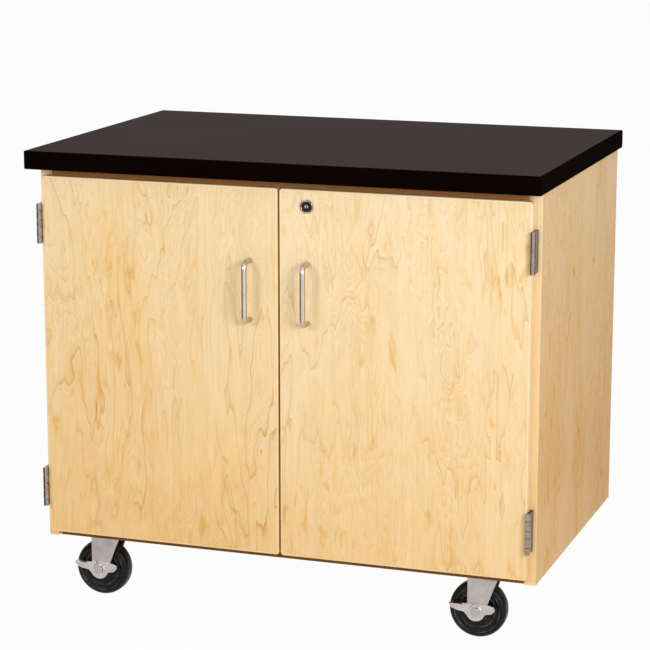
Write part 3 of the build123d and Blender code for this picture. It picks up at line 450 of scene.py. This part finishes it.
# The lock's face: distances of its rings from its middle and how softly they end, in metres, and
# its colours, with a clear and a smudged one for the rim and a painted highlight for the keyhole
# plate
lock_keyhole_reach = 0.0029
lock_well_reach = 0.0086
lock_ring_fade = 0.0004
lock_rim = ((0.4, 0.31, 0.24), (0.3, 0.225, 0.17))
lock_well = (0.035, 0.024, 0.018)
lock_painted_highlight = (0.62, 0.54, 0.46)
lock_smudges = (300.0, 3.0)
lock_roughness = (0.12, 0.22)
lock_relief = (0.05, 0.0002, 0.0004)


def lock_chrome(name):
    """Dark chrome: a painted highlight on the keyhole plate, in a black well, inside a smoky rim.
    """
    g = Surface(name)
    smudge = g.noise(*lock_smudges)
    reach = g.reach(middle("lock_cylinder"))
    colour = g.mix(smudge, *lock_rim)
    # The black well, then the keyhole plate with its painted highlight
    for ring, inside in ((lock_well_reach, lock_well), (lock_keyhole_reach, lock_painted_highlight)):
        colour = g.mix(g.span(reach, ring, ring + lock_ring_fade, 1.0, 0.0), colour, inside)
    g.set(Base_Color=colour, Metallic=1.0, Roughness=g.span(smudge, *wide_spread, *lock_roughness))
    g.relief(smudge, *lock_relief)
    return g.material


# Plastic: noise of its grain, how much that dulls it, its roughness and relief
plastic_grain = (500.0, 2.0)
plastic_dulling = 0.1
plastic_roughness = 0.5
plastic_relief = (0.08, 0.0002)


def plastic(name, colour):
    """Moulded matt plastic."""
    g = Surface(name)
    grain = g.noise(*plastic_grain)
    g.set(Base_Color=g.mix(grain, colour, dulled(colour, plastic_dulling)))
    g.set(Roughness=plastic_roughness)
    g.relief(grain, *plastic_relief)
    return g.material


def flag_cloth():
    """Black felt."""
    g = Surface("flag_black")
    g.set(Base_Color=g.mix(g.noise(*flag_weave), *flag_colours), Roughness=flag_roughness)
    return g.material


slot_materials = {
    "hinge_steel": hinge_steel("hinge_steel"),
    "screw_steel": metal("screw_steel", (0.5, 0.49, 0.46), 0.3),
    "pull_metal": metal("pull_metal", (0.63, 0.56, 0.485), 0.33),
    "lock_metal": metal("lock_metal", (0.2, 0.185, 0.17), 0.2),
    "catch_plastic": plastic("catch_plastic", (0.62, 0.6, 0.55)),
    "zinc": metal("zinc", (0.52, 0.475, 0.45), 0.38),
}

# Nodes with a material of their own
worktop_rounding = 0.0008
lever_zinc = ((0.6, 0.565, 0.54), 0.3, 0.0012)
node_materials = {
    # The face's redder, lighter ground is partly the laminate's own and partly painted reflection
    "worktop_board": laminate(
        "worktop_face", (0.03, 0.0105, 0.0103), (0.037, 0.0138, 0.0134), 0.09
    ),
    "worktop_edge_band": laminate(
        "worktop_edge", (0.003, 0.001, 0.001), (0.004, 0.0015, 0.0015), 0.009, worktop_rounding
    ),
    "lock_cylinder": lock_chrome("lock_rim"),
    "lock_plug": lock_chrome("lock_face"),
}
for corner in braked_casters:
    node_materials[f"{corner}_brake_lever"] = metal(f"lever_zinc_{corner}", *lever_zinc)
for corner in casters:
    node_materials[f"{corner}_wheel"] = rubber(f"rubber_{corner}", f"{corner}_wheel")

# How far from the middle of the cabinet the tint and the painted shades go: over the inner width,
# over a whole board, or just past the edges where the doors meet
inner_half_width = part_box("shelf")[1][0]
whole_width = cad_box[1][0]
meeting_margin = 0.0003
meeting_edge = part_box("right_door_edge_band")[0][0] + meeting_margin

# Each board has its own veneer: how its grain lies, where its pattern starts, how bold its lines
# are, how strong its figure is, how amber it is, its shade and, for some, a multiplied colour and
# its reach
# Painted shade on the edge band under the doors, between the sides
foot_shaded = (foot_painted_shade, inner_half_width)
# Painted shade on the rail under the worktop's overhang
rail_shaded = (rail_painted_shade, inner_half_width)
side_stained = (side_stain, whole_width)
# Painted shade of the gap on the edges where the doors meet
meeting_shaded = (meeting_painted_shade, meeting_edge)
board_veneers = {
    "left_door_panel": ("upright_front", (3.1, 0.0, 1.4), 0.8, 1.0, 0.42, 0.965),
    "right_door_panel": ("upright_front", (7.7, 0.0, 5.2), 0.45, 1.0, 0.16, 0.975),
    # The door edge bands' shade above one is a painted highlight along the doors' edges
    "left_door_edge_band": (
        "upright_front", (11.0, 2.0, 0.3), 0.1, 0.3, 0.2, 1.05, *meeting_shaded
    ),
    "right_door_edge_band": (
        "upright_front", (13.0, 2.0, 0.7), 0.1, 0.3, 0.1, 1.05, *meeting_shaded
    ),
    "left_side_panel": ("upright_side", (1.3, 4.0, 2.2), 0.3, 1.6, 0.64, 0.985, *side_stained),
    "right_side_panel": ("upright_side", (5.9, 8.0, 3.6), 0.3, 1.6, 0.64, 0.985, *side_stained),
    "carcass_edge_bands": ("upright_front", (17.0, 6.0, 0.9), 0.1, 0.3, 0.3, 1.05, *foot_shaded),
    "bottom_panel": ("level", (2.0, 9.0, 0.4), 0.3, 0.6, 0.4, 0.97),
    "top_front_rail": ("level", (4.0, 11.0, 0.8), 0.3, 0.6, 0.6, 1.0, *rail_shaded),
    "top_rear_rail": ("level", (6.0, 12.0, 1.2), 0.3, 0.6, 0.4, 0.97),
    "shelf": ("level", (8.0, 14.0, 1.6), 0.3, 0.6, 0.3, 0.97),
    "back_panel": ("upright_front", (21.0, 3.0, 2.0), 0.5, 1.0, 0.4, 0.94),
}
for board_name, veneer in board_veneers.items():
    node_materials[board_name] = maple(f"maple_{board_name}", *veneer)

for entry in frame["record"]["subparts"]:
    mesh = nodes[entry["node"]].data
    mesh.materials.clear()
    mesh.materials.append(
        node_materials.get(entry["node"]) or slot_materials[entry["material_slot"]]
    )


def mesh_object(name, builder, material):
    """An object from a finished bmesh, with one material."""
    bmesh.ops.recalc_face_normals(builder, faces=builder.faces)
    mesh = bpy.data.meshes.new(name)
    builder.to_mesh(mesh)
    builder.free()
    mesh.materials.append(material)
    made = bpy.data.objects.new(name, mesh)
    bpy.context.scene.collection.objects.link(made)
    return made


def add_band(builder, first, second):
    """Faces between two closed loops of as many points."""
    for index in range(len(first)):
        builder.faces.new((first[index - 1], first[index], second[index], second[index - 1]))


# Half of a wheel's section, from the bore out to the middle of the tread: the distance from the
# axle and the distance from the wheel's middle plane, in millimetres
wheel_section = [
    (6.55, 18.5), (14.5, 18.5), (16.5, 17.0), (18.0, 13.4), (28.5, 13.0), (30.2, 13.6),
    (31.2, 14.7), (32.2, 14.7), (33.4, 13.8), (37.5, 13.6), (38.9, 14.6), (39.9, 15.9),
    (41.4, 15.9), (45.5, 15.0), (48.6, 12.8), (50.3, 9.6), (50.8, 5.5), (50.8, 0.0),
]
wheel_segments = 64
wheel_subdivision = 1


def make_wheel(corner):
    """A cast rubber wheel: a crowned tread, round shoulders, two ridges on a shallow web, a hub."""
    axle_x, middle_y, axle_z = middle(f"{corner}_wheel")
    section = wheel_section + [(reach, -side) for reach, side in reversed(wheel_section[:-1])]
    builder = bmesh.new()
    rings = []
    for step in range(wheel_segments):
        turn = math.tau * step / wheel_segments
        ring = []
        for reach, side in section:
            x = axle_x + reach * millimetre * math.cos(turn)
            z = axle_z + reach * millimetre * math.sin(turn)
            ring.append(builder.verts.new((x, middle_y + side * millimetre, z)))
        rings.append(ring)
    for this, following in zip(rings, rings[1:] + rings[:1]):
        add_band(builder, this, following)
    wheel = mesh_object(f"{corner}_cast_wheel", builder, node_materials[f"{corner}_wheel"])
    wheel.data.shade_smooth()
    wheel.modifiers.new("round", "SUBSURF").render_levels = wheel_subdivision
    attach(wheel, f"{corner}_roller")
    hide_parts(f"{corner}_wheel")


# Measuring CAD screws: how near points are welded, the share of the head's radius from which a
# point is on its rim, and the height from which a head is domed and not countersunk
weld_distance = 1e-6
rim_share = 0.98
least_dome = 0.001

# Screw heads: the recess as shares of the head's radius, with its foot as a share of its mouth, and
# the domed head as shares of its radius and height
recess_arm = 0.56
recess_half_width = 0.15
recess_depth = 0.5
recess_foot = 0.45
dome_section = [(0.66, 0.0), (0.82, 0.1), (0.94, 0.32), (1.0, 0.66), (1.0, 1.0)]
screw_segments = 24
screw_point = 0.003
point_taper = 3
turn_between_screws = math.radians(137.5)
sharp_edge = math.radians(35)


def islands(node):
    """The separate solids in a CAD node, as lists of points."""
    welded = bmesh.new()
    welded.from_mesh(nodes[node].data)
    bmesh.ops.remove_doubles(welded, verts=welded.verts, dist=weld_distance)
    waiting = set(welded.verts)
    groups = []
    while waiting:
        reached = [waiting.pop()]
        for vert in reached:
            for edge in vert.link_edges:
                other = edge.other_vert(vert)
                if other in waiting:
                    waiting.remove(other)
                    reached.append(other)
        groups.append([vert.co.copy() for vert in reached])
    welded.free()
    return groups


def measure_screw(points):
    """The measures of a CAD screw.

    They are the middle of the top of its head, the way it points, its length, the radii of its head
    and its shank, and the height of its head's rim.
    """
    low, high = (Vector([pick(p[k] for p in points) for k in range(3)]) for pick in (min, max))
    size = high - low
    centre = (low + high) / 2
    along = max(range(3), key=lambda k: size[k])
    aside = [k for k in range(3) if k != along]
    reach = {tuple(p): math.dist([p[k] for k in aside], [centre[k] for k in aside]) for p in points}
    head_radius = max(reach.values())
    rim = [p[along] for p in reach if reach[p] > rim_share * head_radius]
    inward = Vector([0.0, 0.0, 0.0])
    inward[along] = -1.0 if sum(rim) / len(rim) > centre[along] else 1.0
    tip_side = [r for p, r in reach.items() if (p[along] - centre[along]) * inward[along] > 0]
    head = centre - inward * size[along] / 2
    return head, inward, size[along], head_radius, max(tip_side), max(rim) - min(rim)


def screw_rings(length, head_radius, shank_radius, head_height):
    """A screw's section from the top of its head to its point: radius and depth."""
    if head_height > least_dome:
        rings = [(head_radius * out, head_height * down) for out, down in dome_section]
        rings.append((shank_radius, head_height))
    else:
        rings = [(head_radius, 0.0), (shank_radius, head_radius - shank_radius)]
    return rings + [(shank_radius, length - screw_point), (shank_radius / point_taper, length)]


def cross_outline(arm, half):
    """The corners of a plus sign."""
    quarter = [(arm, -half), (arm, half), (half, half)]
    turns = [(1, 0), (0, 1), (-1, 0), (0, -1)]
    return [(c * u - s * v, s * u + c * v) for c, s in turns for u, v in quarter]


def circle_outline(radius):
    angles = [math.tau * step / screw_segments for step in range(screw_segments)]
    return [(radius * math.cos(angle), radius * math.sin(angle)) for angle in angles]


def loop_edges(builder, loop):
    """The edges round a loop of points, new where there are none."""
    pairs = zip(loop, loop[1:] + loop[:1])
    return [builder.edges.get(pair) or builder.edges.new(pair) for pair in pairs]


def add_screw(builder, points, turn):
    """A screw with a tapered cross recess, in the place of a CAD screw."""
    head, inward, length, head_radius, shank_radius, head_height = measure_screw(points)
    across = inward.orthogonal().normalized()
    beside = inward.cross(across)
    cos, sin = math.cos(turn), math.sin(turn)

    def loop(outline, depth):
        corners = []
        for u, v in outline:
            level = across * (u * cos - v * sin) + beside * (u * sin + v * cos)
            corners.append(builder.verts.new(head + level + inward * depth))
        return corners

    rings = screw_rings(length, head_radius, shank_radius, head_height)
    loops = [loop(circle_outline(radius), depth) for radius, depth in rings]
    outline = cross_outline(recess_arm * head_radius, recess_half_width * head_radius)
    mouth = loop(outline, 0.0)
    inner = [(u * recess_foot, v * recess_foot) for u, v in outline]
    foot = loop(inner, recess_depth * head_radius)
    rims = loop_edges(builder, loops[0]) + loop_edges(builder, mouth)
    bmesh.ops.bridge_loops(builder, edges=rims)
    for upper, lower in [*zip(loops, loops[1:]), (mouth, foot)]:
        add_band(builder, upper, lower)
    builder.faces.new(loops[-1])
    builder.faces.new(foot)


def make_screws(node, body):
    """The screws of one CAD node, each turned to its own angle."""
    builder = bmesh.new()
    groups = sorted(islands(node), key=lambda group: tuple(min(group, key=tuple)))
    for index, points in enumerate(groups):
        add_screw(builder, points, index * turn_between_screws)
    screws = mesh_object(f"{node}_cross_head", builder, slot_materials["screw_steel"])
    screws.data.shade_smooth()
    screws.data.set_sharp_from_angle(angle=sharp_edge)
    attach(screws, body)
    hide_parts(node)


def make_floor():
    """A white floor that keeps only a faint shadow where it is seen."""
    bpy.ops.mesh.primitive_plane_add(size=floor_size)
    floor = bpy.context.object
    floor.name = "floor"
    material = bpy.data.materials.new("floor_white")
    material.use_nodes = True
    g = Graph(material.node_tree)
    g.tree.nodes.clear()
    matt = g.add("BsdfDiffuse", {"Color": floor_colour}).outputs[0]
    glow = g.add("Emission", {}).outputs[0]
    share = g.times(g.seen_ray(), floor_glow)
    blend = g.add("MixShader", {0: share, 1: matt, 2: glow}).outputs[0]
    g.add("OutputMaterial", {"Surface": blend})
    floor.data.materials.append(material)


def make_world():
    """An even white surround, which lights lower and a little warmer than it shows."""
    world = bpy.data.worlds.new("surround")
    bpy.context.scene.world = world
    world.use_nodes = True
    g = Graph(world.node_tree)
    background = g.tree.nodes["Background"].inputs
    seen = g.seen_ray()
    g.feed(background["Color"], g.mix(seen, world_warmth, white))
    g.feed(background["Strength"], g.span(seen, 0.0, 1.0, world_strength, world_glow))


def make_flag(name, start, end, material):
    """A dark studio card, curved round one side of the set, that is seen in reflections alone."""
    builder = bmesh.new()
    columns = []
    for step in range(flag_steps + 1):
        turn = math.radians(start + (end - start) * step / flag_steps)
        column = []
        for reach, height in flag_section:
            point = (-reach * math.sin(turn), -reach * math.cos(turn), height)
            column.append(builder.verts.new(point))
        columns.append(column)
    for this, following in zip(columns, columns[1:]):
        for (a, b), (c, d) in zip(zip(this, following), zip(this[1:], following[1:])):
            builder.faces.new((a, b, d, c))
    flag = mesh_object(name, builder, material)
    flag.visible_camera = False
    flag.visible_diffuse = False
    flag.visible_shadow = False
    flag.visible_transmission = False


def make_lamp(name, place, size, power):
    """A square lamp that points at the cabinet."""
    data = bpy.data.lights.new(name, "AREA")
    data.size = size
    data.energy = power
    lamp = bpy.data.objects.new(name, data)
    lamp.location = place
    lamp.rotation_euler = (Vector(lamp_aim) - Vector(place)).to_track_quat("-Z", "Y").to_euler()
    bpy.context.scene.collection.objects.link(lamp)


def make_camera():
    """The photograph's camera."""
    data = bpy.data.cameras.new("camera")
    data.sensor_width = camera_sensor
    data.lens = camera_lens
    camera = bpy.data.objects.new("camera", data)
    camera.location = camera_place
    camera.rotation_euler = (quarter_turn - camera_pitch, 0.0, camera_yaw)
    bpy.context.scene.collection.objects.link(camera)
    bpy.context.scene.camera = camera


for caster in casters:
    make_wheel(caster)
for screw_node, screw_body in screw_nodes.items():
    make_screws(screw_node, screw_body)
make_floor()
make_world()
felt = flag_cloth()
for flag_name, (flag_start, flag_end) in flags.items():
    make_flag(flag_name, flag_start, flag_end, felt)
for lamp_name, (lamp_place, lamp_size, lamp_power) in lamps.items():
    make_lamp(lamp_name, lamp_place, lamp_size, lamp_power)
make_camera()
bpy.context.scene.view_settings.view_transform = "Standard"
